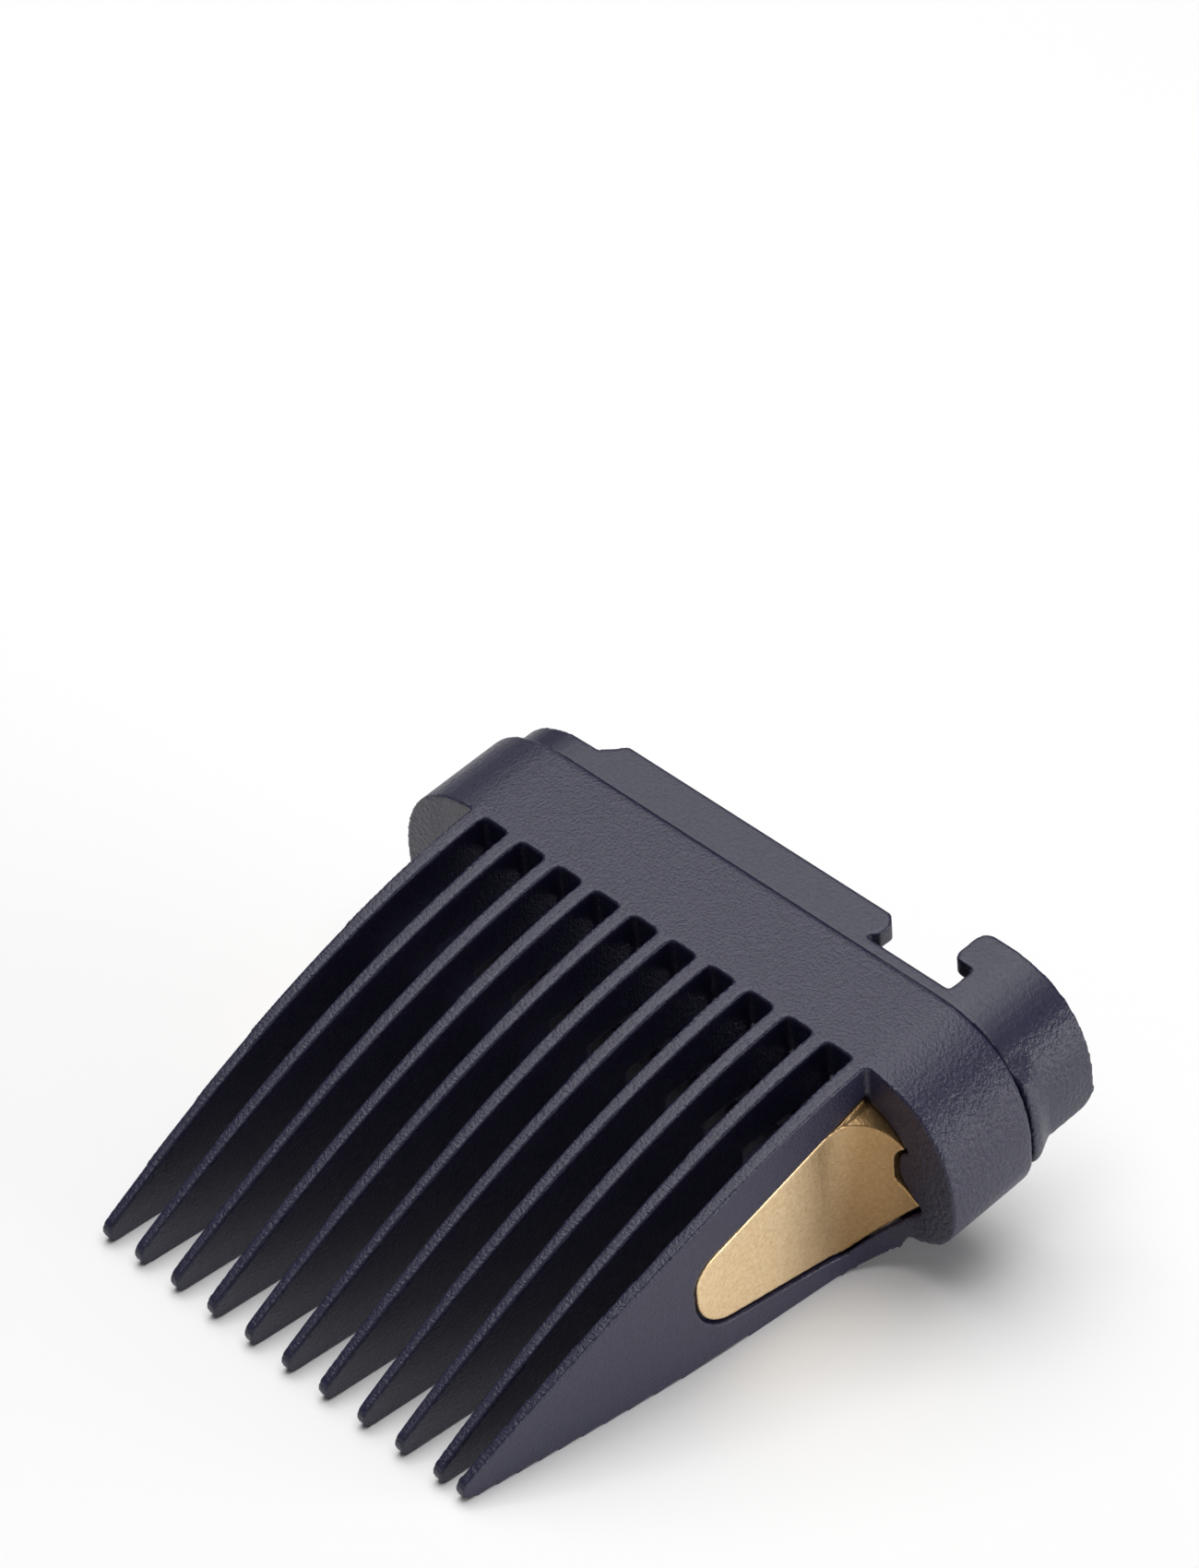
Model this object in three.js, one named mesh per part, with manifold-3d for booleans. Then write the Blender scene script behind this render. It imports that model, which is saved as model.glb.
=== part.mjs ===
// Guide comb that clips onto a hair clipper, in millimetres.
//
// The model is drawn in the comb's own frame and then laid down as it rests. In the comb's
// frame +X runs across the teeth, the tips point along -Y, the flat deck is the plane z = 0
// and the slots start at y = 0. At rest the comb lies on the straight lower edges of its
// tooth plates, so its deck leans forwards by restPitch.

import * as THREE from 'three';
import { ConvexGeometry } from 'three/addons/geometries/ConvexGeometry.js';
import { mergeVertices } from 'three/addons/utils/BufferGeometryUtils.js';
import Module from 'manifold-3d';

const wasm = await Module();
wasm.setup();

// ---- Driving dimensions ---------------------------------------------------------------

const toothCount = 11;
const toothPitch = 3.5;
const toothRootWidth = 1.15;
const toothTipWidth = 0.7;
const toothLength = 36.2;       // slot end to the outermost point of the nose
const noseRadius = 0.95;
const noseStart = THREE.MathUtils.degToRad(117);  // where the ridge runs into the nose
const ridgePower = 1.7;         // how late the ridge falls from the deck to the nose
const slotCornerRadius = 0.45;
const bladeGap = 17.7;          // deck front to the plane that the comb lies on, when at rest
const restPitch = THREE.MathUtils.degToRad(9);
const heelRadius = 3.4;         // rounded rear end of the plates' lower edges
const toeInLeft = 0.45;         // how far each outer plate leans inwards at its tip
const toeInRight = 1.45;
const toeInStart = 0.42;        // share of the length that stays straight
const toeInPower = 1.3;

const collarDepth = 7.7;
const collarHalfWidth = 25.3;
const deckHalfWidth = 17;       // the flat part of the deck
const shoulderHeight = 9.2;     // deck to the widest level
const shoulderPower = 2.3;
const cornerLevel = 9.8;        // deck to the start of the lower corner
const cornerInner = 21.5;       // where the lower corner meets the belly
const bellyLevel = 14.0;
const bellySag = 1.2;
const lipInset = 3.0;           // the front lip's inner edge, in from the collar's outside
const lipFlatHalfWidth = 16;    // the flat part of the lip's upper edge
const lipPower = 2;
const lipDepth = 1.6;
const boreInset = 1.9;          // the wall behind the lip
const padTop = 6.1;             // locating pad on each side of the lip
const padFlatTop = 7.7;         // its straight inner edge runs from here
const padFlatBottom = 8.6;      // to here
const padBottom = 10.9;
const padReach = 1.8;
const padShoulder = 0.7;        // flat top of the pad

const pocketTop = 4.0;          // cut-out in the inner plates where the blade set sits
const pocketBottom = 11.2;
const pocketReach = 8;
const pocketSideWall = 0.85;    // what stays of the deck's underside beside the outer plates

const windowFront = 16.4;       // how far the window reaches from the collar
const windowTopRoot = 2.65;     // window's edges below the deck, at the collar
const windowBottomRoot = 16.4;
const windowTopFront = 6.5;     // and level with its front end
const windowBottomFront = 12.4;
const windowTopRadius = 2.4;    // corners of the front end
const windowBottomRadius = 4.0;
const sillRoot = 15.6;          // sill's level at the plate; it climbs to the lip
const windowFloor = 0.35;       // web that closes the window on the inside

const inlayGap = 0.25;
const inlayBackGap = 0.15;
const inlayRecess = 0.2;
const inlayRear = 1.2;          // how far the inlay runs into the collar, behind the lip's edge
const seatDepth = 0.8;          // seat for the inlay in the front of the collar's lower wall

const seamGap = 0.4;            // between the collar and the mounting sleeve
const sleeveClearance = 0.3;
const sleeveWall = 1.3;
const sleeveStep = 0.85;        // the sleeve's outside below the collar's
const sleeveRear = 9.15;
const sleeveSkin = 1.5;
const tongueLeft = -15.5;
const tongueRight = 10.1;
const tongueRear = 11.7;
const tongueChamfer = 0.7;
const leftShoulderRear = 10.15;
const armInner = 16.9;
const armRear = 14.6;
const armBottom = 10.7;
const armCornerRadius = 1.3;
const hookInner = 15.1;
const hookFront = 11.45;
const hookRadius = 0.6;
const hookOuterRadius = 0.95;
const ribGap = 0.3;             // between the collar and the rib
const ribCrownRear = 8.7;       // the rib's full height ends here
const ribRear = 10.1;
const ribTop = 3.4;
const ribBottom = 11.9;
const ribInset = 0.2;
const ribEndSlope = 0.8;        // how far each end slopes down to the sleeve

// ---- Sizes that follow from them ------------------------------------------------------

const toothSpan = (toothCount - 1) * toothPitch;
const plateCentre = toothSpan / 2;
const plateOuter = plateCentre + toothRootWidth / 2;
const plateInner = plateCentre - toothRootWidth / 2;
const lipHalfWidth = collarHalfWidth - lipInset;
const lipFloor = bellyLevel - lipInset;
const filletRadius = lipHalfWidth - plateOuter;   // outer plate to collar front
const sleeveOuterInset = boreInset + sleeveClearance;
const sleeveInnerInset = sleeveOuterInset + sleeveWall;
const sleeveFront = lipDepth + sleeveClearance;
const flangeFront = collarDepth + seamGap;
const over = 1;                 // how far a cutter runs past a face
const joinDepth = 0.5;          // how far two joined solids run into each other
const reach = 60;               // longer than the comb is, for cutters

// ---- Solids ---------------------------------------------------------------------------

function toSolid(geometry) {
  geometry.deleteAttribute('normal');
  geometry.deleteAttribute('uv');
  const merged = mergeVertices(geometry, 1e-5);
  const mesh = new wasm.Mesh({
    numProp: 3,
    vertProperties: new Float32Array(merged.attributes.position.array),
    triVerts: new Uint32Array(merged.index.array),
  });
  return new wasm.Manifold(mesh);
}

function toGeometry(solid) {
  const mesh = solid.getMesh();
  const geometry = new THREE.BufferGeometry();
  geometry.setAttribute('position', new THREE.BufferAttribute(mesh.vertProperties, 3));
  geometry.setIndex(new THREE.BufferAttribute(mesh.triVerts, 1));
  geometry.computeVertexNormals();
  return geometry;
}

function joinAll(solids) {
  return solids.reduce((sum, solid) => sum.add(solid));
}

function shapeOf(points) {
  return new THREE.Shape(points.map(([u, v]) => new THREE.Vector2(u, v)));
}

function extrude(shape, depth, curveSegments = 10) {
  return new THREE.ExtrudeGeometry(shape, { depth, bevelEnabled: false, curveSegments });
}

// A shape drawn in (x, z), run from y = front to y = rear.
function alongY(shape, front, rear) {
  const geometry = extrude(shape, rear - front);
  geometry.rotateX(Math.PI / 2);
  geometry.translate(0, rear, 0);
  return toSolid(geometry);
}

// A shape drawn in (y, z), run from x = left to x = right.
function alongX(shape, left, right) {
  const geometry = extrude(shape, right - left);
  geometry.applyMatrix4(new THREE.Matrix4().set(
    0, 0, 1, left,
    1, 0, 0, 0,
    0, 1, 0, 0,
    0, 0, 0, 1,
  ));
  return toSolid(geometry);
}

// A shape drawn in (x, y), run from z = bottom to z = top.
function alongZ(shape, bottom, top) {
  const geometry = extrude(shape, top - bottom);
  geometry.translate(0, 0, bottom);
  return toSolid(geometry);
}

function block(left, right, front, rear, bottom, top) {
  const geometry = new THREE.BoxGeometry(right - left, rear - front, top - bottom);
  geometry.translate((left + right) / 2, (front + rear) / 2, (bottom + top) / 2);
  return toSolid(geometry);
}

function mirrored(geometry) {
  const copy = geometry.clone();
  copy.scale(-1, 1, 1);
  const index = copy.index.array;
  for (let i = 0; i < index.length; i += 3) {
    [index[i], index[i + 2]] = [index[i + 2], index[i]];
  }
  copy.computeVertexNormals();
  return copy;
}

// ---- Curves ---------------------------------------------------------------------------

// The collar's section, moved in by inset: flat deck, wide shoulders, tight lower corners
// and a belly that hangs slightly.
function ovalShape(inset, flatHalf = deckHalfWidth, power = shoulderPower) {
  const shoulderSteps = 22;
  const gather = 1.5;           // closer points towards the widest level
  const cornerSteps = 8;
  const bellySteps = 8;
  const half = collarHalfWidth - inset;
  const right = [];
  for (let i = 0; i <= shoulderSteps; i += 1) {
    const angle = (Math.PI / 2) * (1 - (1 - i / shoulderSteps) ** gather);
    const out = Math.sin(angle) ** (2 / power);
    const down = 1 - Math.max(Math.cos(angle), 0) ** (2 / power);
    const x = flatHalf + (half - flatHalf) * out;
    right.push([x, -inset - (shoulderHeight - inset) * down]);
  }
  for (let i = 0; i <= cornerSteps; i += 1) {
    const angle = (Math.PI / 2) * (i / cornerSteps);
    const x = cornerInner + (half - cornerInner) * Math.cos(angle);
    right.push([x, -cornerLevel - (bellyLevel - inset - cornerLevel) * Math.sin(angle)]);
  }
  for (let i = 1; i < bellySteps; i += 1) {
    const x = cornerInner * (1 - (2 * i) / bellySteps);
    if (x > 0) right.push([x, -bellyLevel + inset - bellySag * (1 - (x / cornerInner) ** 2)]);
  }
  const left = right.map(([x, z]) => [-x, z]).reverse();
  return shapeOf([...right, [0, -bellyLevel + inset - bellySag], ...left]);
}

// The plane that the comb lies on, seen from the side.
function restLine(y) {
  return -(bladeGap + y * Math.sin(restPitch)) / Math.cos(restPitch);
}

// Side view of a tooth plate: ridge, nose, straight lower edge and rounded heel.
function plateProfile() {
  const ridgeSteps = 22;
  const noseSteps = 8;
  const heelSteps = 6;
  const noseY = noseRadius - toothLength;
  const noseZ = restLine(noseY) + noseRadius / Math.cos(restPitch);
  const noseEnd = 1.5 * Math.PI - restPitch;
  const ridgeEnd = noseY + noseRadius * Math.cos(noseStart);
  const ridgeFall = noseZ + noseRadius * Math.sin(noseStart);
  const points = [[over, 0]];
  for (let i = 0; i <= ridgeSteps; i += 1) {
    const share = i / ridgeSteps;
    points.push([ridgeEnd * share, ridgeFall * share ** ridgePower]);
  }
  for (let i = 1; i <= noseSteps; i += 1) {
    const angle = noseStart + ((noseEnd - noseStart) * i) / noseSteps;
    points.push([noseY + noseRadius * Math.cos(angle), noseZ + noseRadius * Math.sin(angle)]);
  }
  const heelZ = restLine(-heelRadius) + heelRadius;
  for (let i = 0; i <= heelSteps; i += 1) {
    const angle = -Math.PI / 2 + (Math.PI / 2) * (i / heelSteps);
    const y = -heelRadius + heelRadius * Math.cos(angle);
    points.push([y, i === 0 ? restLine(y) : heelZ + heelRadius * Math.sin(angle)]);
  }
  points.push([0, -bellyLevel], [over, -bellyLevel]);
  return shapeOf(points);
}

// How far a tooth's centre line has moved inwards at y. Only the outer plates lean.
function toeIn(tooth, y) {
  const share = Math.max(-y / toothLength - toeInStart, 0) / (1 - toeInStart);
  const lean = share ** toeInPower;
  if (tooth === 0) return toeInLeft * lean;
  if (tooth === toothCount - 1) return -toeInRight * lean;
  return 0;
}

function toothSide(tooth, side, y) {
  const share = Math.min(-y / toothLength, 1);
  const width = toothRootWidth + (toothTipWidth - toothRootWidth) * share;
  return tooth * toothPitch - plateCentre + toeIn(tooth, y) + (side * width) / 2;
}

// Plan view of one slot, open towards the tips, with rounded inner corners.
function slotShape(slot) {
  const steps = 8;
  const shape = new THREE.Shape();
  const left = (y) => toothSide(slot, 1, y);
  const right = (y) => toothSide(slot + 1, -1, y);
  const r = slotCornerRadius;
  const stations = [];
  for (let i = 0; i <= steps; i += 1) {
    stations.push(-r - ((toothLength + over - r) * i) / steps);
  }
  shape.moveTo(left(-r) + r, 0);
  shape.absarc(left(-r) + r, -r, r, Math.PI / 2, Math.PI, false);
  for (const y of stations.slice(1)) shape.lineTo(left(y), y);
  for (const y of stations.slice(1).reverse()) shape.lineTo(right(y), y);
  shape.lineTo(right(-r), -r);
  shape.absarc(right(-r) - r, -r, r, 0, Math.PI / 2, false);
  return shape;
}

// Plan view of the whole row of teeth, before the slots are cut.
function rowShape() {
  const steps = 10;
  const left = [];
  const right = [];
  for (let i = 0; i <= steps; i += 1) {
    const y = -(toothLength * i) / steps;
    left.push([toothSide(0, -1, y), y]);
    right.push([toothSide(toothCount - 1, 1, y), y]);
  }
  return shapeOf([[-plateOuter, over], ...left, ...right.reverse(), [plateOuter, over]]);
}

// The collar's mouth inside the lip, moved in by gap.
function mouthShape(gap) {
  return ovalShape(lipInset + gap, lipFlatHalfWidth, lipPower);
}

// Side view of the window in an outer plate, grown by the given amount.
function windowShape(grow, rear) {
  const topSlope = (windowTopFront - windowTopRoot) / windowFront;
  const bottomSlope = (windowBottomRoot - windowBottomFront) / windowFront;
  const topAngle = Math.atan(topSlope);
  const bottomAngle = -Math.atan(bottomSlope);
  const topY = windowTopRadius - windowFront;
  const bottomY = windowBottomRadius - windowFront;
  const topZ = -windowTopRoot + topSlope * topY - windowTopRadius / Math.cos(topAngle);
  const bottomZ = -windowBottomRoot - bottomSlope * bottomY
    + windowBottomRadius / Math.cos(bottomAngle);
  const shape = new THREE.Shape();
  shape.moveTo(rear, -windowBottomRoot - bottomSlope * rear - grow);
  shape.lineTo(rear, -windowTopRoot + topSlope * rear + grow);
  shape.absarc(topY, topZ, windowTopRadius + grow, Math.PI / 2 + topAngle, Math.PI, false);
  shape.absarc(
    bottomY, bottomZ, windowBottomRadius + grow, Math.PI, 1.5 * Math.PI + bottomAngle, false);
  return shape;
}

// ---- Comb moulding: collar, tooth plates and slots ------------------------------------

function toothRow() {
  const profile = alongX(plateProfile(), -plateOuter - over, plateOuter + over);
  let row = profile.intersect(alongZ(rowShape(), -reach, over));
  for (let slot = 0; slot < toothCount - 1; slot += 1) {
    row = row.subtract(alongZ(slotShape(slot), -reach, over));
  }
  const half = plateInner - pocketSideWall;
  return row.subtract(block(-half, half, -pocketReach, over * 2, -pocketBottom, -pocketTop));
}

function collarRing() {
  const seat = alongY(seatShape(0), -over, seatDepth);
  return alongY(ovalShape(0), 0, collarDepth)
    .subtract(alongY(mouthShape(0), -over, collarDepth + over))
    .subtract(alongY(ovalShape(boreInset), lipDepth, collarDepth + over))
    .subtract(seat.add(seat.mirror([1, 0, 0])));
}

// Front view of an inlay's seat in the collar's lower wall, moved in by gap.
function seatShape(gap) {
  return shapeOf([
    [plateInner + gap, -sillRoot],
    [plateOuter, -sillRoot],
    [lipHalfWidth - gap, -lipFloor + gap],
    [lipHalfWidth - gap, -lipFloor + over],
    [plateInner + gap, -lipFloor + over],
  ]);
}

// Front view of what lies under the window's sill, which climbs from the plate to the lip.
function sillShape(grow) {
  return shapeOf([
    [plateInner - over, -reach],
    [plateInner - over, -sillRoot + grow],
    [plateOuter, -sillRoot + grow],
    [lipHalfWidth, -lipFloor + grow],
    [lipHalfWidth, -reach],
  ]);
}

// Concave corner between an outer plate and the collar's front, under the window.
function cornerFillet() {
  const r = filletRadius;
  const plan = new THREE.Shape();
  plan.moveTo(plateInner, joinDepth);
  plan.lineTo(plateInner, -r);
  plan.lineTo(plateOuter, -r);
  plan.absarc(plateOuter + r, -r, r, Math.PI, Math.PI / 2, true);
  plan.lineTo(plateOuter + r, joinDepth);
  return alongZ(plan, -reach, 0)
    .intersect(alongY(sillShape(0), -reach, reach))
    .intersect(alongX(plateProfile(), 0, reach));
}

// Front view of the locating pad on the lip's right side, grown by the given amount.
function padShape(grow) {
  const left = lipHalfWidth - padReach - grow;
  const right = lipHalfWidth + over;
  const slope = (padBottom - padFlatBottom) / padReach;
  const shape = new THREE.Shape();
  shape.moveTo(right, -padBottom - grow - slope * over);
  shape.lineTo(right, -padTop + grow);
  shape.lineTo(lipHalfWidth - padShoulder, -padTop + grow);
  shape.quadraticCurveTo(left, -padTop + grow, left, -padFlatTop);
  shape.lineTo(left, -padFlatBottom - grow);
  return shape;
}

function combMoulding() {
  const sides = joinAll([cornerFillet(), alongY(padShape(0), 0, lipDepth)]);
  const bothSides = sides.add(sides.mirror([1, 0, 0]));
  const window = alongX(windowShape(0, over), plateInner + windowFloor, plateOuter + over);
  const windows = window.add(window.mirror([1, 0, 0]));
  const mouth = alongY(mouthShape(0), 0, over * 2);
  return toothRow().subtract(windows).subtract(mouth).add(collarRing()).add(bothSides);
}

// ---- Inlay: the curved wedge that closes a window -------------------------------------

function inlaySolid() {
  const outer = plateOuter - inlayRecess;
  const inner = plateInner + windowFloor + inlayBackGap;
  const r = filletRadius + inlayRecess;
  const plan = new THREE.Shape();
  plan.moveTo(inner, -reach);
  plan.lineTo(outer, -reach);
  plan.lineTo(outer, -filletRadius);
  plan.absarc(outer + r, -filletRadius, r, Math.PI, Math.PI / 2, true);
  plan.lineTo(outer + r, inlayRear);
  plan.lineTo(inner, inlayRear);
  const inPlate = block(0, plateOuter, -reach, -inlayGap, -reach, 0);
  const inMouth = alongY(mouthShape(inlayGap), -reach, lipDepth);
  const inSeat = alongY(seatShape(inlayGap), -reach, seatDepth - inlayGap);
  return alongZ(plan, -reach, 0)
    .intersect(alongX(windowShape(-inlayGap, inlayRear + over), 0, reach))
    .intersect(joinAll([inPlate, inMouth, inSeat]))
    .subtract(alongY(padShape(inlayGap), -inlayGap, lipDepth))
    .subtract(alongY(sillShape(inlayGap), -reach, reach));
}

// ---- Mounting sleeve ------------------------------------------------------------------

function tube(outerInset, innerInset, front, rear) {
  return alongY(ovalShape(outerInset), front, rear)
    .subtract(alongY(ovalShape(innerInset), front - over, rear + over));
}

function tongue() {
  const c = tongueChamfer;
  const front = sleeveRear - joinDepth;
  const plan = shapeOf([
    [tongueLeft - c, front],
    [tongueRight - c, front],
    [tongueRight - c, sleeveRear],
    [tongueRight, sleeveRear + c],
    [tongueRight, tongueRear - c],
    [tongueRight - c, tongueRear],
    [tongueLeft + c, tongueRear],
    [tongueLeft - c, leftShoulderRear],
  ]);
  return tube(sleeveStep, sleeveStep + sleeveSkin, front, tongueRear)
    .intersect(alongZ(plan, -sleeveStep - sleeveSkin - over, 0));
}

function leftShoulder() {
  const keep = block(-reach, tongueLeft, 0, reach, -armBottom, 0);
  return tube(sleeveStep, sleeveStep + sleeveSkin, sleeveRear - joinDepth, leftShoulderRear)
    .intersect(keep);
}

function armPlan() {
  const r = hookRadius;
  const outerRadius = hookOuterRadius;
  const plan = new THREE.Shape();
  plan.moveTo(reach, 0);
  plan.lineTo(reach, armRear);
  plan.lineTo(hookInner + outerRadius, armRear);
  plan.absarc(
    hookInner + outerRadius, armRear - outerRadius, outerRadius, Math.PI / 2, Math.PI, false);
  plan.absarc(hookInner + r, hookFront + r, r, Math.PI, 1.5 * Math.PI, false);
  plan.lineTo(armInner, hookFront);
  plan.lineTo(armInner, 0);
  return plan;
}

function armSide() {
  const r = armCornerRadius;
  const side = new THREE.Shape();
  side.moveTo(0, over);
  side.lineTo(0, -armBottom);
  side.lineTo(armRear - r, -armBottom);
  side.absarc(armRear - r, -armBottom + r, r, -Math.PI / 2, 0, false);
  side.lineTo(armRear, over);
  return side;
}

function arm() {
  return tube(sleeveStep, sleeveStep + sleeveSkin, sleeveRear - joinDepth, armRear)
    .intersect(alongZ(armPlan(), -reach, over))
    .intersect(alongX(armSide(), 0, reach));
}

// A low dome beside the collar, sloping down to the sleeve at its rear and at both ends.
function rib() {
  const front = collarDepth + ribGap;
  const root = sleeveStep + joinDepth;
  const crown = tube(ribInset, root, front, ribCrownRear)
    .intersect(block(0, reach, 0, reach, ribEndSlope - ribBottom, -ribTop - ribEndSlope));
  const skirt = tube(sleeveStep, root, front, ribRear)
    .intersect(block(0, reach, 0, reach, -ribBottom, -ribTop));
  const corners = [crown, skirt].flatMap((solid) => {
    const places = solid.getMesh().vertProperties;
    return Array.from({ length: places.length / 3 }, (_, i) => (
      new THREE.Vector3().fromArray(places, 3 * i)));
  });
  return toSolid(new ConvexGeometry(corners));
}

function mountingSleeve() {
  return joinAll([
    tube(sleeveOuterInset, sleeveInnerInset, sleeveFront, sleeveRear),
    tube(sleeveStep, sleeveInnerInset, flangeFront, sleeveRear),
    tongue(),
    leftShoulder(),
    arm(),
    rib(),
  ]);
}

// ---- Materials and assembly -----------------------------------------------------------

const darkPlastic = { color: 0x3a3a46, roughness: 0.55, metalness: 0 };
const goldPlastic = { color: 0xcdb087, roughness: 0.5, metalness: 0.15 };

function part(name, geometry, look) {
  const mesh = new THREE.Mesh(geometry, new THREE.MeshStandardMaterial(look));
  mesh.name = name;
  return mesh;
}

const inlay = toGeometry(inlaySolid());
const comb = new THREE.Group();
comb.add(part('comb_moulding', toGeometry(combMoulding()), darkPlastic));
comb.add(part('mounting_sleeve', toGeometry(mountingSleeve()), darkPlastic));
comb.add(part('inlay_right', inlay, goldPlastic));
comb.add(part('inlay_left', mirrored(inlay), goldPlastic));

// Lay the comb down and put the middle of its footprint at the origin.
comb.rotation.x = restPitch;
comb.updateMatrixWorld(true);
const footprint = new THREE.Box3().setFromObject(comb, true);
const centre = footprint.getCenter(new THREE.Vector3());
comb.position.set(-centre.x, -centre.y, -footprint.min.z);

const model = new THREE.Group();
model.add(comb);
model.updateMatrixWorld(true);

export default model;
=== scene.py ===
import math

import bmesh
import bpy
from mathutils import Matrix, Vector


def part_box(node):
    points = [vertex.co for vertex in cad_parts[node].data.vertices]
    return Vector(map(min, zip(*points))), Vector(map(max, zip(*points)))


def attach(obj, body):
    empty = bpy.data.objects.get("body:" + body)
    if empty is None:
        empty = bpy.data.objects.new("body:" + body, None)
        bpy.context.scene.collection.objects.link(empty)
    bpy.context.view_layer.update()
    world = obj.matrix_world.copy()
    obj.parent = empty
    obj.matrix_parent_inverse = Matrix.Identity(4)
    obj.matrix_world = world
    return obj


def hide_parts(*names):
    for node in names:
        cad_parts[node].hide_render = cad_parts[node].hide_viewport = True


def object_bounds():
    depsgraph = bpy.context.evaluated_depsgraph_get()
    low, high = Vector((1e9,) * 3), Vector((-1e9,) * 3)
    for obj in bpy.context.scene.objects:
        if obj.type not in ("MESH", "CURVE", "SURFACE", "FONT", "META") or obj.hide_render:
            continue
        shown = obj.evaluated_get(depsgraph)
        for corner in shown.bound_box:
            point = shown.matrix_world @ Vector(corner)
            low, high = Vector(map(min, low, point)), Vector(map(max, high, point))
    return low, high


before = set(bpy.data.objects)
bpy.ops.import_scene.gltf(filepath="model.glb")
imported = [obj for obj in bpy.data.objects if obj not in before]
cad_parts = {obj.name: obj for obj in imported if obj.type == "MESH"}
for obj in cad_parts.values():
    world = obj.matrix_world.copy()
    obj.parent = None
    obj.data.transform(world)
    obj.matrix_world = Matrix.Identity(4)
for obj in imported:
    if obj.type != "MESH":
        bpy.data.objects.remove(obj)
cad_low, cad_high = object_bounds()

MM = 0.001

# ---- The comb's own frame -------------------------------------------------------------
# +X across the teeth, tips along -Y, deck at z = 0, slots start at y = 0. At rest the comb
# leans forwards about X, and z = 0 of the shared frame is the surface that it lies on.
REST_PITCH = math.radians(9)
DECK_LEVEL = 17.7 * MM        # height of the deck's front edge
DECK_FRONT = 9.039 * MM       # place of that edge along Y
OWN = Matrix.Translation((0, DECK_FRONT, DECK_LEVEL)) @ Matrix.Rotation(REST_PITCH, 4, "X")
COLLAR_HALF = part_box("comb_moulding")[1].x
COLLAR_REAR = 7.7 * MM

# The rib beside the collar, in the comb's own frame
RIB_SIDE = 22.5 * MM
RIB_FRONT = 7.8 * MM
RIB_REAR = 10.4 * MM


# ---- Pieces as mouldings --------------------------------------------------------------
def link(obj):
    bpy.context.scene.collection.objects.link(obj)
    return obj


def soften(mesh, softer):
    """More rounding of the vertices in chosen places. Each entry is (inside, rounds)."""
    to_own = OWN.inverted()
    bm = bmesh.new()
    bm.from_mesh(mesh)
    for inside, rounds in softer:
        chosen = [v for v in bm.verts if inside(to_own @ v.co)]
        for _ in range(rounds):
            bmesh.ops.smooth_vert(
                bm, verts=chosen, factor=0.5, use_axis_x=True, use_axis_y=True, use_axis_z=True)
    bm.to_mesh(mesh)
    bm.free()


def fine_skin(node, voxel, rounds):
    """A CAD solid's surface as a fine mesh whose edges and corners are rounded."""
    weld_distance = 1e-7
    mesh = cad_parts[node].data.copy()
    bm = bmesh.new()
    bm.from_mesh(mesh)
    bmesh.ops.remove_doubles(bm, verts=bm.verts, dist=weld_distance)
    bm.to_mesh(mesh)
    bm.free()
    blank = link(bpy.data.objects.new(node + "_blank", mesh))
    skin = blank.modifiers.new("skin", "REMESH")
    skin.mode = "VOXEL"
    skin.voxel_size = voxel
    skin.use_smooth_shade = True
    ease = blank.modifiers.new("ease", "SMOOTH")
    ease.factor = 0.5
    ease.iterations = rounds
    graph = bpy.context.evaluated_depsgraph_get()
    fine = bpy.data.meshes.new_from_object(blank.evaluated_get(graph))
    bpy.data.objects.remove(blank)
    return fine


def moulded(node, name, voxel, rounds, material, softer=()):
    """The piece that replaces a CAD node.

    Each entry of softer is (inside, rounds): more rounding where inside(place) holds, with the
    place in the comb's own frame.
    """
    mesh = fine_skin(node, voxel, rounds)
    if softer:
        soften(mesh, softer)
    mesh.shade_smooth()
    mesh.materials.clear()
    mesh.materials.append(material)
    piece = link(bpy.data.objects.new(name, mesh))
    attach(piece, "root")
    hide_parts(node)


# ---- Shader nodes ---------------------------------------------------------------------
def node_material(name):
    material = bpy.data.materials.new(name)
    material.use_nodes = True
    tree = material.node_tree
    return material, tree, tree.nodes["Principled BSDF"]


def noise(tree, place, scale, detail, roughness):
    node = tree.nodes.new("ShaderNodeTexNoise")
    node.inputs["Scale"].default_value = scale
    node.inputs["Detail"].default_value = detail
    node.inputs["Roughness"].default_value = roughness
    tree.links.new(place, node.inputs["Vector"])
    return node.outputs["Fac"]


def ramp(tree, value, low, high, color_low, color_high):
    node = tree.nodes.new("ShaderNodeValToRGB")
    stops = ((low, color_low), (high, color_high))
    for element, (position, color) in zip(node.color_ramp.elements, stops):
        element.position = position
        element.color = (*color, 1)
    tree.links.new(value, node.inputs["Fac"])
    return node.outputs["Color"]


def bump(tree, height, strength, distance, normal):
    node = tree.nodes.new("ShaderNodeBump")
    node.inputs["Strength"].default_value = strength
    node.inputs["Distance"].default_value = distance
    tree.links.new(height, node.inputs["Height"])
    if normal is not None:
        tree.links.new(normal, node.inputs["Normal"])
    return node.outputs["Normal"]


def math_node(tree, operation, first, second):
    node = tree.nodes.new("ShaderNodeMath")
    node.operation = operation
    for socket, value in zip(node.inputs, (first, second)):
        if isinstance(value, (int, float)):
            socket.default_value = value
        else:
            tree.links.new(value, socket)
    return node.outputs[0]


def axis(tree, place, name):
    split = tree.nodes.new("ShaderNodeSeparateXYZ")
    tree.links.new(place, split.inputs[0])
    return split.outputs[name]


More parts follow.
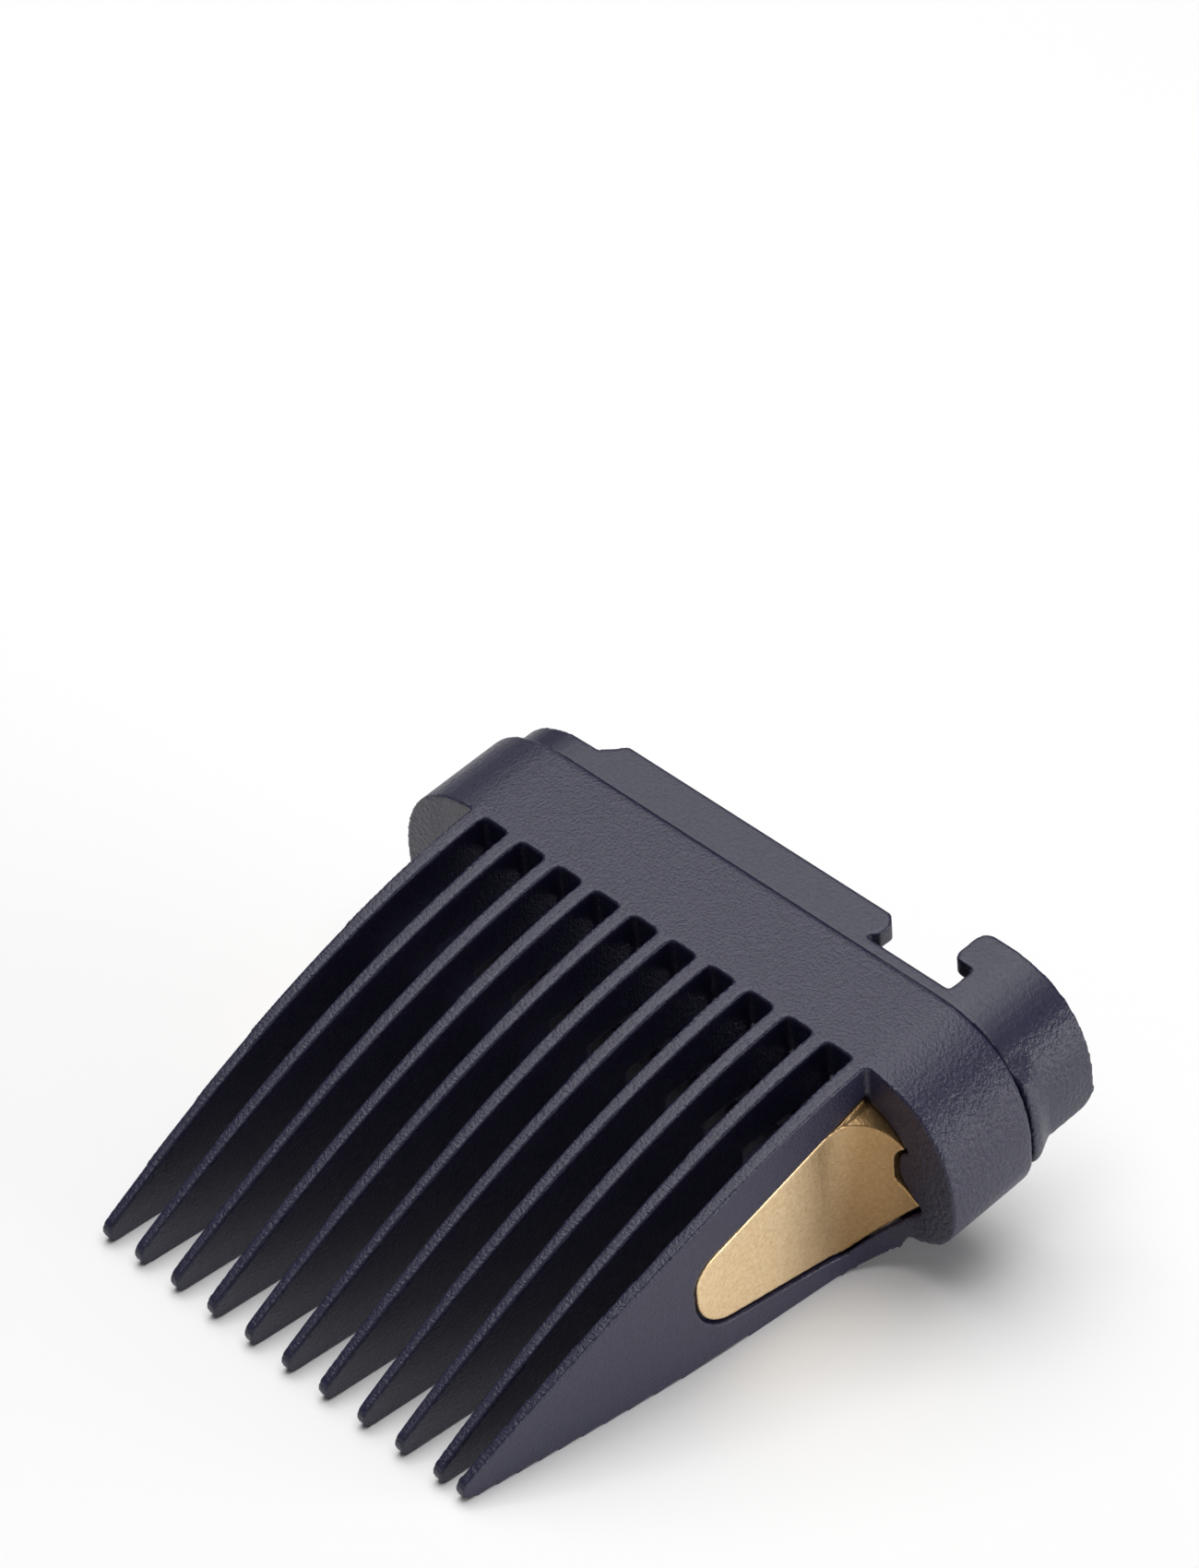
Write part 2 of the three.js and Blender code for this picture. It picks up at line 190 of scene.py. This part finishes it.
def side_mask(tree, place, start, end):
    """0 in the middle of the comb, rising to 1 from start to end on either side."""
    spread = tree.nodes.new("ShaderNodeMapRange")
    spread.interpolation_type = "SMOOTHSTEP"
    spread.inputs["From Min"].default_value = start
    spread.inputs["From Max"].default_value = end
    across = math_node(tree, "ABSOLUTE", axis(tree, place, "X"), 0)
    tree.links.new(across, spread.inputs["Value"])
    return spread.outputs[0]


def multiply_colors(tree, first, second):
    node = tree.nodes.new("ShaderNodeMix")
    node.data_type = "RGBA"
    node.blend_type = "MULTIPLY"
    node.inputs["Factor"].default_value = 1
    colors = [socket for socket in node.inputs if socket.type == "RGBA"]
    tree.links.new(first, colors[0])
    tree.links.new(second, colors[1])
    return next(socket for socket in node.outputs if socket.type == "RGBA")


# ---- Materials ------------------------------------------------------------------------
# Noise scales are in cells per metre. A grain is (scale, bump strength, height in metres).
MOTTLE_SCALE = 3600
GLOSS_SCALE = 4200
WRINKLE_SCALE = 2900
PLASTIC_IOR = 1.5


def satin(name, dark, light, smooth, rough, metallic, grains):
    """Moulded satin plastic, mottled from dark to light and from smooth to rough."""
    material, tree, shader = node_material(name)
    place = tree.nodes.new("ShaderNodeTexCoord").outputs["Object"]
    mottle = noise(tree, place, MOTTLE_SCALE, 4, 0.7)
    tree.links.new(ramp(tree, mottle, 0.32, 0.68, dark, light), shader.inputs["Base Color"])
    gloss = noise(tree, place, GLOSS_SCALE, 3, 0.5)
    tree.links.new(
        ramp(tree, gloss, 0.3, 0.7, (smooth,) * 3, (rough,) * 3), shader.inputs["Roughness"])
    normal = None
    for scale, strength, height in grains:
        normal = bump(tree, noise(tree, place, scale, 2.5, 0.55), strength, height, normal)
    tree.links.new(normal, shader.inputs["Normal"])
    shader.inputs["IOR"].default_value = PLASTIC_IOR
    shader.inputs["Metallic"].default_value = metallic
    return material, tree, shader, place


def add_wrinkles(tree, shader, place, start, end):
    """A coarser, wrinkled grain on the sides, fading in from start to end."""
    fine_grain = shader.inputs["Normal"].links[0].from_socket
    wrinkle = noise(tree, place, WRINKLE_SCALE, 2.5, 0.55)
    height = math_node(tree, "MULTIPLY", wrinkle, side_mask(tree, place, start, end))
    coarse = bump(tree, height, 0.95, 0.17 * MM, fine_grain)
    tree.links.new(coarse, shader.inputs["Normal"])


def paint_shade_towards_rear(tree, shader, place, start, end, shade_tone):
    """Painted shade: multiply the colour by shade_tone towards the rear, fading in from start
    to end along Y.
    """
    base = shader.inputs["Base Color"].links[0].from_socket
    from_start = math_node(tree, "SUBTRACT", axis(tree, place, "Y"), start)
    share = math_node(tree, "DIVIDE", from_start, end - start)
    shade = ramp(tree, share, 0, 1, (1, 1, 1), shade_tone)
    tree.links.new(multiply_colors(tree, base, shade), shader.inputs["Base Color"])


def make_dark_plastic():
    material, tree, shader, place = satin(
        "dark_plastic", (0.009, 0.009, 0.030), (0.019, 0.017, 0.050), 0.31, 0.42, 0,
        [(7500, 0.8, 0.04 * MM), (4200, 0.9, 0.07 * MM)])
    add_wrinkles(tree, shader, place, COLLAR_HALF - 4.5 * MM, COLLAR_HALF - 2.5 * MM)
    return material


def make_sleeve_plastic():
    material, tree, shader, place = satin(
        "sleeve_plastic", (0.010, 0.010, 0.031), (0.019, 0.018, 0.048), 0.34, 0.44, 0,
        [(7000, 0.5, 0.03 * MM), (3600, 0.5, 0.05 * MM)])
    add_wrinkles(tree, shader, place, COLLAR_HALF - 4.5 * MM, COLLAR_HALF - 1.5 * MM)
    return material


def make_gold_plastic():
    material, tree, shader, place = satin(
        "gold_plastic", (0.78, 0.54, 0.29), (0.98, 0.77, 0.48), 0.26, 0.40, 0.8,
        [(7000, 0.5, 0.03 * MM), (3000, 0.5, 0.05 * MM)])
    # Painted shade and reflection: the gold darkens towards the collar, where the concave flare
    # would mirror the dark collar lip.
    paint_shade_towards_rear(
        tree, shader, place, DECK_FRONT - 7 * MM, DECK_FRONT - 0.5 * MM, (0.46, 0.38, 0.28))
    return material


# ---- Pieces ---------------------------------------------------------------------------
def near_collar_rear(place):
    return place.y > COLLAR_REAR - 1 * MM


def on_rib(place):
    return place.x > RIB_SIDE and RIB_FRONT < place.y < RIB_REAR


MOULDING_VOXEL = 0.15 * MM
INLAY_VOXEL = 0.1 * MM

dark_plastic = make_dark_plastic()
sleeve_plastic = make_sleeve_plastic()
gold_plastic = make_gold_plastic()
moulded(
    "comb_moulding", "comb", MOULDING_VOXEL, 2, dark_plastic,
    [(near_collar_rear, 8)])
moulded(
    "mounting_sleeve", "sleeve", MOULDING_VOXEL, 3, sleeve_plastic,
    [(on_rib, 6)])
for side in ("right", "left"):
    moulded(f"inlay_{side}", f"gold_inlay_{side}", INLAY_VOXEL, 3, gold_plastic)


# ---- Floor and light ------------------------------------------------------------------
def make_floor(half, white, roughness):
    mesh = bpy.data.meshes.new("floor")
    corners = [(-half, -half, 0), (half, -half, 0), (half, half, 0), (-half, half, 0)]
    mesh.from_pydata(corners, [], [(0, 1, 2, 3)])
    material, _, shader = node_material("floor_white")
    shader.inputs["Base Color"].default_value = (white, white, white, 1)
    shader.inputs["Roughness"].default_value = roughness
    mesh.materials.append(material)
    return link(bpy.data.objects.new("floor", mesh))


def direction(azimuth, elevation):
    """Unit vector towards a place in degrees: azimuth 0 is the front, 90 the right."""
    a, e = math.radians(azimuth), math.radians(elevation)
    return Vector((math.sin(a) * math.cos(e), -math.cos(a) * math.cos(e), math.sin(e)))


def softbox(name, azimuth, elevation, size, power):
    data = bpy.data.lights.new(name, "AREA")
    data.shape = "RECTANGLE"
    data.size, data.size_y = size
    data.energy = power
    light = link(bpy.data.objects.new(name, data))
    away = direction(azimuth, elevation)
    light.location = (cad_low + cad_high) / 2 + away * LIGHT_DISTANCE
    light.rotation_mode = "QUATERNION"
    light.rotation_quaternion = (-away).to_track_quat("-Z", "Y")


LIGHT_DISTANCE = 0.60
WORLD_STRENGTH = 0.12

make_floor(half=1.6, white=0.93, roughness=0.7)
softbox("rear", 242, 52, (0.42, 0.30), 0.80)
softbox("overhead", 236, 86, (0.60, 0.60), 3.5)
softbox("right_low", 118, 8, (0.60, 0.14), 1.95)

world = bpy.data.worlds.new("studio")
world.use_nodes = True
world.node_tree.nodes["Background"].inputs["Color"].default_value = (1, 1, 1, 1)
world.node_tree.nodes["Background"].inputs["Strength"].default_value = WORLD_STRENGTH
bpy.context.scene.world = world
bpy.context.scene.view_settings.view_transform = "Standard"

# ---- Camera ---------------------------------------------------------------------------
LENS = 156.82                 # mm, on a 36 mm sensor
AZIMUTH, ELEVATION = 42.753, 38.130
ROLL = math.radians(2.996)
DISTANCE = 0.4425
AIM = Vector((-4.433, 6.785, 28.88)) * MM

camera_data = bpy.data.cameras.new("camera")
camera_data.sensor_width = 36
camera_data.lens = LENS
camera_data.clip_start = 0.01
camera = link(bpy.data.objects.new("camera", camera_data))
back = direction(AZIMUTH, ELEVATION)
level = (-back).to_track_quat("-Z", "Y")
camera.location = AIM + back * DISTANCE
camera.rotation_mode = "QUATERNION"
camera.rotation_quaternion = level @ Matrix.Rotation(ROLL, 4, "Z").to_quaternion()
bpy.context.scene.camera = camera
